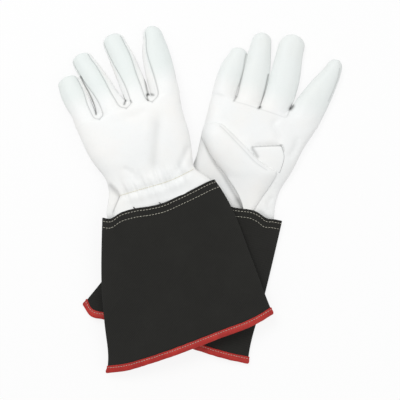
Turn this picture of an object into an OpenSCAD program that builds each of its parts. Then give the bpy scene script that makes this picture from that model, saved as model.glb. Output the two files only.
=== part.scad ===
// A pair of gauntlet welding gloves lying crossed on a table: the left glove lies
// back up over the cuff of the right glove, which lies palm up with its thumb folded in.
// Millimetres, +Z up, +Y towards the fingertips. The origin is on the table, under
// the middle of the pair. Every glove is cut from flat panels that are sewn into tubes.

/* [Gauntlet cuff] */
// Length of the cloth cuff from its leather seam to its hem
cuff_len = 162; // [120:1:200]
// Width of the flattened cuff at the leather seam
cuff_top_w = 129; // [120:1:155]
// Width of the flattened cuff at the hem
hem_w = 192; // [160:1:231]
// How far the hem is set over towards the little finger
hem_set = 16; // [0:1:30]
// Height of the flattened cuff at the leather seam
cuff_h = 13; // [10.5:0.1:16]
// Height of the flattened cuff at the hem
hem_h = 10; // [8:0.1:13]
// Thickness of the cuff cloth
cloth_t = 1.2; // [0.8:0.1:1.6]

/* [Hem binding] */
// Width of the binding tape on each face of the cuff
binding_w = 9; // [6:0.5:14]
// Thickness of the binding tape
binding_t = 0.9; // [0.6:0.1:1.2]

/* [Wrist] */
// Width of the leather at the wrist elastic
wrist_w = 99; // [82:1:119]
// Height of the leather at the wrist elastic
wrist_h = 12.4; // [10.2:0.1:13]
// Distance from the cuff seam to the wrist elastic
elastic_at = 15; // [10:0.5:18]
// Width of the wrist elastic
elastic_w = 6; // [4:0.5:8]
// Thickness of the wrist elastic
elastic_t = 0.8; // [0.5:0.1:1.2]
// Distance from the cuff seam to the crease where the wrist bends
crease_at = 30; // [25:0.5:31]
// Length of leather that runs inside the cuff
seam_lap = 10; // [6:0.5:16]

/* [Hand] */
// Distance from the cuff seam to the finger bases
hand_len = 108.5; // [95:0.5:131]
// Height of the hand at its fullest
hand_h = 18; // [15:0.1:22]
// Thickness of the leather
leather_t = 1.2; // [0.8:0.1:1.5]

/* [Fingers] */
// Lengths of the little, ring, middle and index fingers, laid straight
finger_len = [60, 79, 88, 81]; // [45:0.5:110]
// Widths of the same four fingers at their bases
finger_w = [26.5, 27.5, 28.5, 30]; // [20:0.5:36]
// Height of a finger at its base
finger_h = 15; // [12:0.1:18]
// Space between neighbouring fingers at their bases
finger_gap = 3; // [2.5:0.1:5]

/* [Thumb] */
// Length of the thumb from its crotch to its tip
thumb_len = 58; // [45:0.5:70]
// Width of the thumb at its crotch
thumb_w = 31; // [25:0.5:32]
// Height of the thumb
thumb_h = 9.6; // [8:0.1:11.6]
// Place of the thumb's base across the palm, from the middle
thumb_x = 4; // [0:0.5:10]
// Place of the thumb's base along the palm, from the cuff seam
thumb_y = 46; // [46:0.5:55]
// Angle between the folded thumb and the fingers
thumb_lean = 60; // [50:1:70]

/* [Lay of the pair] */
// Place of the left glove's cuff seam on the table
left_at = [-47.5, 0.3]; // [-80:0.1:80]
// Turn of the left glove
left_turn = 19; // [15:0.5:25]
// Lean of the left little, ring, middle and index fingers
left_lean = [9, 10.5, 4, -6.4]; // [-15:0.1:15]
// Length that the left fingers lose because they lie slack
left_slack = 7; // [0:0.5:10]
// Place of the right glove's cuff seam on the table
right_at = [27.3, -4.6]; // [-80:0.1:80]
// Turn of the right glove
right_turn = -20; // [-25:0.5:-15]
// Lean of the right little, ring, middle and index fingers
right_lean = [2.5, 7, 6, -10.5]; // [-15:0.1:15]
// Sideways lean of the right hand at its finger bases
right_hand_set = 4; // [0:0.5:6]
// Distance down the right cuff at which the left cuff bears on it
crossing_at = 20; // [10:1:30]
// How far the corner of the left hem hangs down past the right hem
corner_hang = 10; // [0:0.5:11]

/* [Hidden] */
LEFT = 0;
RIGHT = 1;
LITTLE = 0;
INDEX = 3;
SIDES = ["left", "right"];
FINGERS = ["little", "ring", "middle", "index"];
GLOVE_PIECES = [
    "cuff_back_panel", "cuff_palm_panel", "cuff_binding",
    "wrist_back", "wrist_palm", "wrist_elastic",
    "hand_back", "hand_palm",
    "thumb_gusset", "thumb_outer", "thumb_inner",
];
FINGER_PIECES = ["back", "front", "fourchettes"];

LEATHER = "#f1f2ee";
STRIP_LEATHER = "#e6e8e3";
DENIM = "#2c2b2a";
BINDING_RED = "#b3332d";
ELASTIC_CREAM = "#e4dcc4";

// Clearance between pieces that lie against each other
fit = 0.4;
// Share of a flattened tube's height at which its side seams run
seam_share = 0.36;
// Powers that square off a tube's section: across, over the crown and under the flat side
across_power = 0.62;
crown_power = 0.8;
flat_power = 0.35;
// How far past the underside the section's curve would run, which leaves the underside flat
flat_reach = 1.02;
// Half of the angle that a side strip takes between a finger's back and front
strip_angle = 35;
// Share of a finger's base size that is left where its tip begins to round
tip_taper = 0.86;
// Tip radius as a share of the finger's width
tip_round = 0.44;
// Share of the rounding that lifts a tip from below
tip_lift = 0.4;
// Rings along the straight part of a finger and round its tip
finger_steps = [0, 0.3, 0.65, 1];
tip_steps = [0.35, 0.62, 0.82, 0.94, 0.998];
// Panel divisions across a cuff, wrist or hand, and per side strip or finger face
panel_cuts = 14;
strip_cuts = 3;
face_cuts = 6;
// Divisions along the cuff and round the hem
cuff_rows = 5;
hem_cuts = 2 * panel_cuts;

// The hand is as wide as its four fingers and the spaces between them
knuckle_w = finger_w[0] + finger_w[1] + finger_w[2] + finger_w[3] + 3 * finger_gap;
hand_set = [0, right_hand_set];
finger_lean = [left_lean, right_lean];
slack = [left_slack, 0];

// The left palm's underside is held up by its own tucked thumb at the finger bases,
// and by the right glove's cuff under its own cuff
knuckle_z = thumb_h + 3 * fit;
lay_z = max(cuff_height(-crossing_at), wrist_h) + fit;
hand_drop = [asin((lay_z - knuckle_z) / (hand_len - crease_at)), 0];
finger_dip = [asin((knuckle_z - fit) / (max(finger_len) - left_slack)) - hand_drop[LEFT], 0];

// Matrices that place a glove, its hand, a finger and the thumb
function shift(v) = [[1, 0, 0, v.x], [0, 1, 0, v.y], [0, 0, 1, v.z], [0, 0, 0, 1]];
function about_x(a) = [[1, 0, 0, 0], [0, cos(a), -sin(a), 0], [0, sin(a), cos(a), 0], [0, 0, 0, 1]];
function about_z(a) = [[cos(a), -sin(a), 0, 0], [sin(a), cos(a), 0, 0], [0, 0, 1, 0], [0, 0, 0, 1]];
function glove_place(side) = side == LEFT
    ? shift([left_at.x, left_at.y, lay_z]) * about_z(left_turn)
    : shift([right_at.x, right_at.y, 0]) * about_z(right_turn);
function hand_place(side) =
    glove_place(side) * shift([0, crease_at, 0]) * about_x(-hand_drop[side]) * shift([0, -crease_at, 0]);
function finger_x(side, k) =
    hand_set[side] - knuckle_w / 2 + finger_w[k] / 2
    + (k == 0 ? 0 : [for (i = 0, x = 0; i <= k; x = x + finger_w[i] + finger_gap, i = i + 1) x][k]);
function finger_place(side, k) =
    hand_place(side) * shift([finger_x(side, k), hand_len + fit, 0])
    * about_x(-finger_dip[side]) * about_z(finger_lean[side][k]);
function thumb_place(side) = side == LEFT
    ? hand_place(side) * shift([thumb_x, thumb_y, -fit]) * about_z(thumb_lean)
    : hand_place(side) * shift([thumb_x, thumb_y, hand_h + fit]) * about_z(thumb_lean);
function at_place(m, p) = [for (i = [0:2]) (m * [p.x, p.y, p.z, 1])[i]];

// A ring is [y, middle x, lowest z, half width, height] of a flattened tube's section
function signed_power(v, p) = sign(v) * pow(abs(v), p);
function ring_rise(a) = sin(a) >= 0
    ? seam_share + (1 - seam_share) * pow(sin(a), crown_power)
    : seam_share * max(0, 1 - flat_reach * pow(-sin(a), flat_power));
function ring_point(r, a) =
    [r[1] + r[3] * signed_power(cos(a), across_power), r[0], r[2] + r[4] * ring_rise(a)];
function inset(r, t) = [r[0], r[1], r[2] + t, r[3] - t, r[4] - 2 * t];
function inset_all(rings, t) = [for (r = rings) inset(r, t)];
function grid(rings, a_from, a_to, cuts) =
    [for (r = rings) [for (j = [0:cuts]) ring_point(r, a_from + (a_to - a_from) * j / cuts)]];
function ring_at(rings, y) =
    concat([y], [for (part = [1:4]) lookup(y, [for (r = rings) [r[0], r[part]]])]);

// A sewn panel: the closed shell between an outer and an inner grid of points
module panel(outer, inner) {
    rows = len(outer) - 1;
    cols = len(outer[0]) - 1;
    wide = cols + 1;
    back = len(outer) * wide;
    function o(i, j) = i * wide + j;
    function n(i, j) = back + i * wide + j;
    function halves(q) = [[q[0], q[1], q[2]], [q[0], q[2], q[3]]];
    faces = [
        for (i = [0:rows - 1]) for (j = [0:cols - 1]) each concat(
            halves([o(i, j), o(i, j + 1), o(i + 1, j + 1), o(i + 1, j)]),
            halves([n(i, j), n(i + 1, j), n(i + 1, j + 1), n(i, j + 1)])
        ),
        for (j = [0:cols - 1]) each concat(
            halves([o(0, j), n(0, j), n(0, j + 1), o(0, j + 1)]),
            halves([o(rows, j), o(rows, j + 1), n(rows, j + 1), n(rows, j)])
        ),
        for (i = [0:rows - 1]) each concat(
            halves([o(i, 0), o(i + 1, 0), n(i + 1, 0), n(i, 0)]),
            halves([o(i, cols), n(i, cols), n(i + 1, cols), o(i + 1, cols)])
        ),
    ];
    polyhedron(points = concat([for (row = outer) each row], [for (row = inner) each row]), faces = faces);
}

module tube_panel(rings, t, a_from, a_to, cuts) {
    panel(grid(rings, a_from, a_to, cuts), grid(inset_all(rings, t), a_from, a_to, cuts));
}

// The back of the left glove and the palm of the right glove lie on top
function top_face(side, on_back) = (side == LEFT) == on_back;
function from_angle(side, on_back) = top_face(side, on_back) ? 0 : 180;

// Cuff: a flared cloth tube, flattened, whose hem is set over to the little finger.
// Near the hem it rises by the thickness of the binding that lies under it.
tape_reach = fit / 4 + binding_t;
function cuff_height(y) = cuff_h - (hem_h - cuff_h) * y / cuff_len;
function hem_lift(y) = tape_reach * min(1, max(0, (3 * binding_w - cuff_len - y) / (2 * binding_w)));
function cuff_ring(y) = let (down = -y / cuff_len)
    [y, -hem_set * down, hem_lift(y), (cuff_top_w + (hem_w - cuff_top_w) * down) / 2, cuff_height(y)];

// The left cuff hangs where it reaches out past the right hem that holds it up
function beyond(p) = let (
    table = at_place(glove_place(LEFT), p) - at_place(glove_place(RIGHT), [0, -cuff_len - tape_reach, 0]),
    outward = at_place(about_z(right_turn), [0, -1, 0])
) max(0, table * outward);
overhang = beyond([-hem_set - hem_w / 2, -cuff_len, 0]);
function hang(side, p) = side == RIGHT ? 0 : corner_hang * pow(beyond([p.x, p.y, 0]) / overhang, 2);
function settled(side, p) = [p.x, p.y, p.z - hang(side, p)];
function settled_grid(side, rows) = [for (row = rows) [for (p = row) settled(side, p)]];
cuff_rings = [
    for (up = [0, binding_w, 3 * binding_w]) cuff_ring(up - cuff_len),
    for (i = [1:cuff_rows]) cuff_ring((3 * binding_w - cuff_len) * (1 - i / cuff_rows)),
];

module cuff_panel(side, on_back) {
    start = from_angle(side, on_back);
    skins = [
        for (t = [0, cloth_t])
            settled_grid(side, grid(inset_all(cuff_rings, t), start, start + 180, panel_cuts))
    ];
    color(DENIM)
        multmatrix(glove_place(side))
            panel(skins[0], skins[1]);
}

// Binding: a tape folded over the raw hem, all the way round
module cuff_binding(side) {
    hem = cuff_ring(-cuff_len);
    lip = cuff_ring(binding_w - cuff_len);
    edge = -cuff_len - fit / 4;
    // The fold's section: how far out from the cloth, and whether it lies at the hem or the tape's edge
    function tape(a) = [
        for (r = [inset(lip, -tape_reach), inset(hem, -tape_reach)]) ring_point(r, a),
        for (r = [inset(hem, cloth_t + tape_reach), inset(lip, cloth_t + tape_reach)]) ring_point(r, a),
        for (r = [inset(lip, cloth_t + fit / 4), inset(hem, cloth_t + fit / 4)]) ring_point(r, a),
        for (r = [inset(hem, -fit / 4), inset(lip, -fit / 4)]) ring_point(r, a),
    ];
    function folded(p, i) = [p.x, i == 1 || i == 2 ? edge - binding_t : (i == 5 || i == 6 ? edge : p.y), p.z];
    section = 8;
    points = [
        for (k = [0:hem_cuts - 1]) let (ring = tape(360 * k / hem_cuts)) for (i = [0:section - 1])
            settled(side, folded(ring[i], i)),
    ];
    function at(k, i) = (k % hem_cuts) * section + i % section;
    faces = [
        for (k = [0:hem_cuts - 1]) for (i = [0:section - 1]) each [
            [at(k, i), at(k + 1, i), at(k + 1, i + 1)],
            [at(k, i), at(k + 1, i + 1), at(k, i + 1)],
        ],
    ];
    color(BINDING_RED)
        multmatrix(glove_place(side))
            polyhedron(points = points, faces = faces);
}

// Wrist: the leather leaves the cuff, draws in at the elastic and ends at the wrist crease
crease_h = wrist_h + 1.6;
crease_w = wrist_w + 2;
function wrist_middle(side, y) = hand_set[side] * max(y, 0) / hand_len;
function wrist_rings(side) = [
    inset(cuff_ring(0), cloth_t + fit) + [-seam_lap, 0, 0, 0, 0],
    inset(cuff_ring(0), cloth_t + fit),
    [
        elastic_at / 2, wrist_middle(side, elastic_at / 2), (cloth_t + fit) / 2,
        (cuff_top_w / 2 - cloth_t - fit + wrist_w / 2) / 2, (cuff_h - 2 * cloth_t + wrist_h) / 2,
    ],
    [elastic_at, wrist_middle(side, elastic_at), 0, wrist_w / 2, wrist_h],
    [crease_at - fit, wrist_middle(side, crease_at), 0, crease_w / 2, crease_h],
];

module wrist_panel(side, on_back) {
    start = from_angle(side, on_back);
    color(LEATHER)
        multmatrix(glove_place(side))
            tube_panel(wrist_rings(side), leather_t, start, start + 180, panel_cuts);
}

// Elastic: a short tape sewn across the inside of the wrist's back
module wrist_elastic(side) {
    middle = from_angle(side, true) + 90;
    half_angle = 52;
    rings = [
        for (y = [elastic_at - elastic_w / 2, elastic_at, elastic_at + elastic_w / 2])
            inset(ring_at(wrist_rings(side), y), leather_t + fit / 2)
    ];
    color(ELASTIC_CREAM)
        multmatrix(glove_place(side))
            tube_panel(rings, elastic_t, middle - half_angle, middle + half_angle, face_cuts);
}

// Hand: back and palm from the wrist crease to the finger bases
hand_profile = [
    [0, crease_h, crease_w],
    [0.2, (crease_h + hand_h) / 2 + 0.6, crease_w + (knuckle_w - crease_w) * 0.4],
    [0.42, hand_h, crease_w + (knuckle_w - crease_w) * 0.75],
    [0.65, hand_h, knuckle_w - 1],
    [0.85, (hand_h + finger_h) / 2 + 0.6, knuckle_w],
    [1, finger_h + 0.4, knuckle_w],
];
function hand_along(share) = crease_at + fit + (hand_len - crease_at - fit) * share;
function hand_share(y) = (y - crease_at - fit) / (hand_len - crease_at - fit);
function hand_top(y) = lookup(hand_share(y), [for (p = hand_profile) [p[0], p[1]]]);
function hand_rings(side) = [
    for (p = hand_profile)
        [hand_along(p[0]), wrist_middle(side, hand_along(p[0])), 0, p[2] / 2, p[1]]
];

// Thumb: it lies on the right palm and under the left palm, over a round thumb hole
gusset_len = 20;
gusset_tip_w = 9;
hole_r = 7.5;
hole_back = 10;
hole_at = [thumb_x + hole_back * sin(thumb_lean), thumb_y - hole_back * cos(thumb_lean)];

// A first row cut on the slant, so that it lies along the straight edge that it is sewn to
function slant(rows, lean, dip) = [
    for (i = [0:len(rows) - 1])
        i > 0 ? rows[i] : [
            for (p = rows[0]) [p.x, p.y - p.x * tan(lean) - p.z * tan(dip) / cos(lean), p.z]
        ],
];

module hand_panel(side, on_back) {
    start = from_angle(side, on_back);
    skins = [
        for (t = [0, leather_t])
            slant(grid(inset_all(hand_rings(side), t), start, start + 180, panel_cuts), 0, hand_drop[side])
    ];
    color(LEATHER)
        multmatrix(hand_place(side))
            difference() {
                panel(skins[0], skins[1]);
                if (!on_back)
                    translate([hole_at.x, hole_at.y, top_face(side, false) ? hand_h / 2 : -hand_h / 2])
                        cylinder(h = hand_h, r = hole_r, $fn = 48);
            }
}

// The thumb of the left glove is turned over, so that it hangs under the palm
module at_thumb(side) {
    multmatrix(thumb_place(side))
        mirror([0, 0, side == LEFT ? 1 : 0])
            children();
}

module thumb_gusset(side) {
    end_y = thumb_y - gusset_len * cos(thumb_lean) + gusset_tip_w / 2 * sin(thumb_lean);
    slope = side == LEFT ? 0 : hand_h - hand_top(end_y);
    lip_angle = 50;
    rings = [
        [-gusset_len, 0, -slope, gusset_tip_w / 2, thumb_h / 2],
        [-gusset_len / 2, 0, -slope * 0.4, (gusset_tip_w + thumb_w) / 4, thumb_h * 0.82],
        [-fit, 0, 0, thumb_w / 2, thumb_h],
    ];
    color(LEATHER)
        at_thumb(side)
            tube_panel(rings, leather_t, -lip_angle, 180 + lip_angle, 2 * face_cuts);
}

// A finger or thumb tube: it tapers a little, then rounds to a closed tip
function finger_rings(length, w, h, tip_r, lift) = [
    for (s = finger_steps) let (f = 1 + (tip_taper - 1) * s)
        [(length - tip_r) * s, 0, lift, f * w / 2, f * h],
    for (s = tip_steps) let (f = tip_taper * sqrt(1 - s * s))
        [length - tip_r * (1 - s), 0, lift + (tip_taper * h - f * h) * tip_lift, f * w / 2, f * h],
];
function finger_skin(length, w, h, t) =
    finger_rings(length - t, w - 2 * t, h - 2 * t, w * tip_round - t, t);

module finger_face(side, k, a_from, a_to, cuts) {
    length = finger_len[k] - slack[side];
    skins = [
        for (t = [0, leather_t])
            slant(
                grid(finger_skin(length, finger_w[k], finger_h, t), a_from, a_to, cuts),
                finger_lean[side][k], finger_dip[side]
            )
    ];
    multmatrix(finger_place(side, k))
        panel(skins[0], skins[1]);
}

// The outer edges of the little and index fingers are folds, with no side strip
function low_edge(k) = k == INDEX ? 0 : strip_angle;
function high_edge(k) = k == LITTLE ? 180 : 180 - strip_angle;

module finger_cover(side, k, on_back) {
    color(LEATHER)
        if (top_face(side, on_back))
            finger_face(side, k, low_edge(k), high_edge(k), face_cuts);
        else
            finger_face(side, k, 360 - high_edge(k), 360 - low_edge(k), face_cuts);
}

module finger_fourchettes(side, k) {
    color(STRIP_LEATHER) {
        if (k != INDEX)
            finger_face(side, k, -strip_angle, strip_angle, strip_cuts);
        if (k != LITTLE)
            finger_face(side, k, 180 - strip_angle, 180 + strip_angle, strip_cuts);
    }
}

module thumb_half(side, a_from) {
    color(LEATHER)
        at_thumb(side)
            panel(
                grid(finger_skin(thumb_len, thumb_w, thumb_h, 0), a_from, a_from + 180, 2 * face_cuts),
                grid(finger_skin(thumb_len, thumb_w, thumb_h, leather_t), a_from, a_from + 180, 2 * face_cuts)
            );
}

module glove_piece(side, piece) {
    if (piece == "cuff_back_panel") cuff_panel(side, true);
    if (piece == "cuff_palm_panel") cuff_panel(side, false);
    if (piece == "cuff_binding") cuff_binding(side);
    if (piece == "wrist_back") wrist_panel(side, true);
    if (piece == "wrist_palm") wrist_panel(side, false);
    if (piece == "wrist_elastic") wrist_elastic(side);
    if (piece == "hand_back") hand_panel(side, true);
    if (piece == "hand_palm") hand_panel(side, false);
    if (piece == "thumb_gusset") thumb_gusset(side);
    if (piece == "thumb_outer") thumb_half(side, 0);
    if (piece == "thumb_inner") thumb_half(side, 180);
}

module finger_piece(side, k, piece) {
    if (piece == "back") finger_cover(side, k, true);
    if (piece == "front") finger_cover(side, k, false);
    if (piece == "fourchettes") finger_fourchettes(side, k);
}

// Where the soft folds turn: each point lies on the top of the piece that folds up
function turned(m, axis) = at_place(m, axis) - at_place(m, [0, 0, 0]);
for (side = [LEFT, RIGHT]) {
    echo(str(SIDES[side], "_wrist"), at_place(hand_place(side), [0, crease_at, crease_h]));
    echo(str(SIDES[side], "_wrist_axis"), turned(hand_place(side), [1, 0, 0]));
    echo(str(SIDES[side], "_knuckles"), [for (k = [0:3])
        at_place(hand_place(side), [finger_x(side, k), hand_len + fit, finger_h])]);
}
echo(right_thumb = at_place(thumb_place(RIGHT), [0, 0, thumb_h]));
echo(right_thumb_axis = turned(thumb_place(RIGHT), [1, 0, 0]));
echo(left_thumb = at_place(thumb_place(LEFT), [thumb_w / 2, 0, 0]));
echo(left_thumb_axis = turned(thumb_place(LEFT), [0, 0, 1]));

for (side = [LEFT, RIGHT]) {
    for (piece = GLOVE_PIECES)
        glove_piece(side, piece);
    for (k = [LITTLE:INDEX])
        for (piece = FINGER_PIECES)
            finger_piece(side, k, piece);
}
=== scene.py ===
"""A pair of gauntlet welding gloves, one crossed over the other: leather hands, cloth cuffs and bound hems.

Lengths are millimetres in each glove's own frame: y 0 at the middle of the cuff's top edge, fingers along +Y,
thumb side along +X, z 0 on the table. Glove.place() turns them into metres in the shared frame.
"""
import math

import bpy
import numpy as np
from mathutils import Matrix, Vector, noise


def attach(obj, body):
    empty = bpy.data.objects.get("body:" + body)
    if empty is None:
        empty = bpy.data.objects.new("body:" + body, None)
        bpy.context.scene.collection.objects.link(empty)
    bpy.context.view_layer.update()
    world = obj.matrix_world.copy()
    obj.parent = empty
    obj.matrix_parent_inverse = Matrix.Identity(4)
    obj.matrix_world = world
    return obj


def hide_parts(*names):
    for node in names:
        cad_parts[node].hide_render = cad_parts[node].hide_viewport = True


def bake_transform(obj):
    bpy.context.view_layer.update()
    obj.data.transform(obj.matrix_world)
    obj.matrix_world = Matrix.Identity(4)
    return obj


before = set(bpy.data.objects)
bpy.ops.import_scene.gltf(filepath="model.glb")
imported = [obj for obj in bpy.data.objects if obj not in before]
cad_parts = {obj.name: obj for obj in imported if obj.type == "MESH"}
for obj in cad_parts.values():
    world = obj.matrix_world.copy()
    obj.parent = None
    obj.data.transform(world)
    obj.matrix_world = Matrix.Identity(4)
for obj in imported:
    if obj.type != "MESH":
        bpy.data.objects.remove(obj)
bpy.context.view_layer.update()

MM = 0.001
TABLE_GAP = 0.1
FINGERS = ("little", "ring", "middle", "index")


# Curves and shapes

def ease(low, high, x):
    """0 below low, 1 above high, smooth between."""
    t = np.clip((np.asarray(x, float) - low) / (high - low), 0, 1)
    return t * t * (3 - 2 * t)


def ramp(x, start, width):
    """0 below start, rising at slope 1 above it, with the corner rounded over width."""
    return width * np.logaddexp(0, (np.asarray(x, float) - start) / width)


def curve(knots, t):
    """Points at shares t of a smooth curve through the knots, spaced by chord length."""
    knots = np.asarray(knots, float)
    steps = np.linalg.norm(np.diff(knots[:, :2], axis=0), axis=1)
    at = np.concatenate([[0], np.cumsum(steps)])
    at = at / at[-1]
    slope = np.gradient(knots, at, axis=0)
    t = np.clip(np.asarray(t, float), 0, 1)
    i = np.clip(np.searchsorted(at, t, side="right") - 1, 0, len(at) - 2)
    gap = (at[i + 1] - at[i])[:, None]
    s = ((t - at[i]) / (at[i + 1] - at[i]))[:, None]
    a, b = knots[i], knots[i + 1]
    return (
        a * (2 * s**3 - 3 * s**2 + 1) + b * (3 * s**2 - 2 * s**3)
        + gap * slope[i] * (s**3 - 2 * s**2 + s) + gap * slope[i + 1] * (s**3 - s**2)
    )


def side_x(knots, y):
    """The x of an outline at heights y, where the knots rise in y."""
    fine = curve(knots, np.linspace(0, 1, 400))
    return np.interp(y, fine[:, 1], fine[:, 0])


def mixed(a, b, share):
    """Points part of the way from a to b."""
    share = np.asarray(share, float)
    if share.ndim:
        share = share[:, None]
    return np.asarray(a, float) * (1 - share) + np.asarray(b, float) * share


def path_distance(points, path):
    """Distance of each point from a path in plan, and the share of the path's length that it lies at."""
    path = np.asarray(path, float)
    best = np.full(len(points), 1e9)
    share = np.zeros(len(points))
    steps = np.linalg.norm(np.diff(path, axis=0), axis=1)
    total = steps.sum()
    gone = 0.0
    for a, b, step in zip(path[:-1], path[1:], steps):
        d = (b - a) / step
        along = np.clip((points - a) @ d, 0, step)
        off = np.linalg.norm(points - a - along[:, None] * d, axis=1)
        nearer = off < best
        best = np.where(nearer, off, best)
        share = np.where(nearer, (gone + along) / total, share)
        gone += step
    return best, share


def rough(points, size, seed):
    """Soft noise from -1 to 1 with lumps of about that size."""
    return np.array([noise.noise(Vector((x / size, y / size, seed))) for x, y in points[:, :2]])


# The two gloves as they lie

PALM_START = 30
KNUCKLES = 106
BEND_ROUND = 6
PALM_RISE = (12, 70)
KNUCKLE_FALL = 1.5
KNUCKLE_SPAN = (80, 115)


class Glove:
    """One glove: where it lies, the outlines of its leather and cuff, and how high it is off the table."""

    def __init__(self, side, at, turn, **shape):
        self.side = side
        self.at = np.array(at)
        self.turn = math.radians(turn)
        self.__dict__.update(shape)

    def place(self, points):
        """Points in this glove's frame, in the shared frame in metres."""
        c, s = math.cos(self.turn), math.sin(self.turn)
        points = np.asarray(points, float)
        x = points[:, 0] * c - points[:, 1] * s + self.at[0]
        y = points[:, 0] * s + points[:, 1] * c + self.at[1]
        return np.stack([x, y, points[:, 2]], axis=1) * MM

    def spot(self, x, y, z=0.0):
        """One point in this glove's frame, in the shared frame in metres."""
        return Vector(self.place(np.array([[x, y, z]]))[0])

    def name(self, piece):
        return f"{self.side}_{piece}"

    def rest(self, y):
        """Height of the underside, which sinks from the wrist to the table at the fingertips."""
        palm = self.hand_sink * ramp(y, PALM_START, BEND_ROUND)
        return self.lift - palm - self.finger_sink * ramp(y, KNUCKLES, BEND_ROUND)

    def height(self, y):
        """Thickness of the hand from wrist to knuckles."""
        rise = (self.hand_h - self.wrist_h) * ease(*PALM_RISE, y)
        return self.wrist_h + rise - KNUCKLE_FALL * ease(*KNUCKLE_SPAN, y)


WRIST_IN = -14.0

left = Glove(
    "left", (-47.5, 0.3), 19, greyness=0.8,
    lift=13.4, hand_sink=0.030, finger_sink=0.098, wrist_h=11.6, hand_h=16.5,
    out_left=[(-60, -14), (-63, -1), (-57, 12), (-47, 35), (-53, 55), (-57.8, 76), (-59.8, 91), (-60.6, 108)],
    out_right=[(61, -14), (62, -1), (55.5, 8), (48.5, 17), (52.5, 36), (55.9, 59), (57.2, 80), (59.6, 106)],
    top_left=[
        (-53, -14), (-51.5, 0), (-45, 8), (-38.5, 15.5), (-40, 24), (-44, 35),
        (-48.4, 53), (-52.8, 74), (-56.5, 108),
    ],
    top_right=[(55, -14), (56, -1), (51, 8), (45, 17), (48, 36), (51, 59), (52.4, 80), (54.8, 106)],
    crotch=[(-34, 109), (1.3, 111), (28.6, 108.5)],
    seam_bottom=[(-32, 101.4), (-0.3, 103.2), (28.6, 100.4)],
    strips=[((5, 3), (5.4, 1.6)), ((6.4, 1.2), (6.8, 2.6)), ((6.8, 1.2), (6.6, 2.0)), ((9.5, 3.4), (5, 4))],
    finger_h=14.0,
    fingers=[
        ([(-46.2, 101, 28.5), (-47.2, 115, 27.2), (-49.4, 130, 28.8), (-51.2, 142, 28.2), (-51.8, 150, 26)],
         (-53.2, 160), 3.0),
        ([(-16.4, 102, 32), (-18.8, 120, 30.2), (-22, 137, 29.8), (-26.2, 155, 27.6), (-29.6, 168, 24.8)],
         (-30.6, 179), 3.4),
        ([(14.2, 102, 29.4), (14.3, 120, 29), (13.2, 138, 28.4), (11.9, 156, 28), (9.9, 173, 25.8)],
         (9, 188.4), 3.8),
        ([(43.9, 101, 30.8), (45.6, 118, 31.4), (47.6, 134, 32), (50.2, 155, 29), (52.2, 169, 22.6)],
         (52.6, 183), 2.5),
    ],
    # Painted shadows: path, width and darkness of the shade in the slits between fingers, the crotches and
    # the folds of the palm's flange.
    painted_shadows=[
        ([(-34.3, 108), (-33.6, 116), (-33.8, 128.6), (-36, 143), (-38, 154)], 0.9, 0.75),
        ([(28.3, 128), (27.3, 118), (26.8, 111)], 0.8, 0.65),
        ([(25.6, 110.5), (28.5, 110.2), (31.8, 108)], 1.3, 0.62),
        ([(25.4, 109.5), (24.8, 107.5), (24.6, 104)], 1.0, 0.62),
        ([(0.4, 119), (0.8, 115), (1.1, 112)], 0.7, 0.6),
        ([(1.2, 111.8), (0, 110.4), (-1.5, 108.4)], 1.2, 0.7),
        ([(6.4, 110), (6.8, 109), (7, 107.5)], 0.8, 0.5),
        ([(-45, 30), (-42.3, 22.5), (-39, 16.5)], 2.2, 0.22),
        ([(-38.7, 15.5), (-44.5, 9.2), (-52, 0.9)], 0.8, 0.4),
    ],
    outer_roots=(101.0, 101.0), root_bow=2.0, cross_seam=None, palm_edge_below=34.0,
    # Creases: path, depth, width and the painted shade along the crease's floor.
    creases=[
        ([(33, 92), (21, 66), (9, 38), (4, 18)], 3.0, 6.5, 0.12),
        ([(55, 46), (40, 31), (24, 15)], 1.8, 4.0, 0.075),
        ([(-28, 45), (-18, 35), (-12, 19)], 1.3, 3.2, 0.03),
        ([(-8, 96), (6, 92), (22, 95)], 0.6, 4.0, 0.0),
    ],
    cuff_base=13.4, cuff_h=12.4, hem_h=10.0,
    cuff_top=[
        (-65, -0.8), (-54, -5), (-44, -2.2), (-28, -2.8), (-10, -6.2), (1, -7.4), (22, -5.7), (41, -3.4),
        (58, -1.2), (65, -1),
    ],
    cuff_left=[(-117, -164), (-112.5, -156), (-100.7, -111), (-89.6, -69), (-76, -30), (-65, -1)],
    cuff_right=[(78, -162), (76.9, -140), (75.6, -90), (73.2, -36), (69, -14), (65.3, -1)],
    hem=[(-117, -164.2), (-95, -168), (-71, -168.8), (-20, -168.2), (18, -166.6), (54, -165.6), (78, -161.5)],
)
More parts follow.
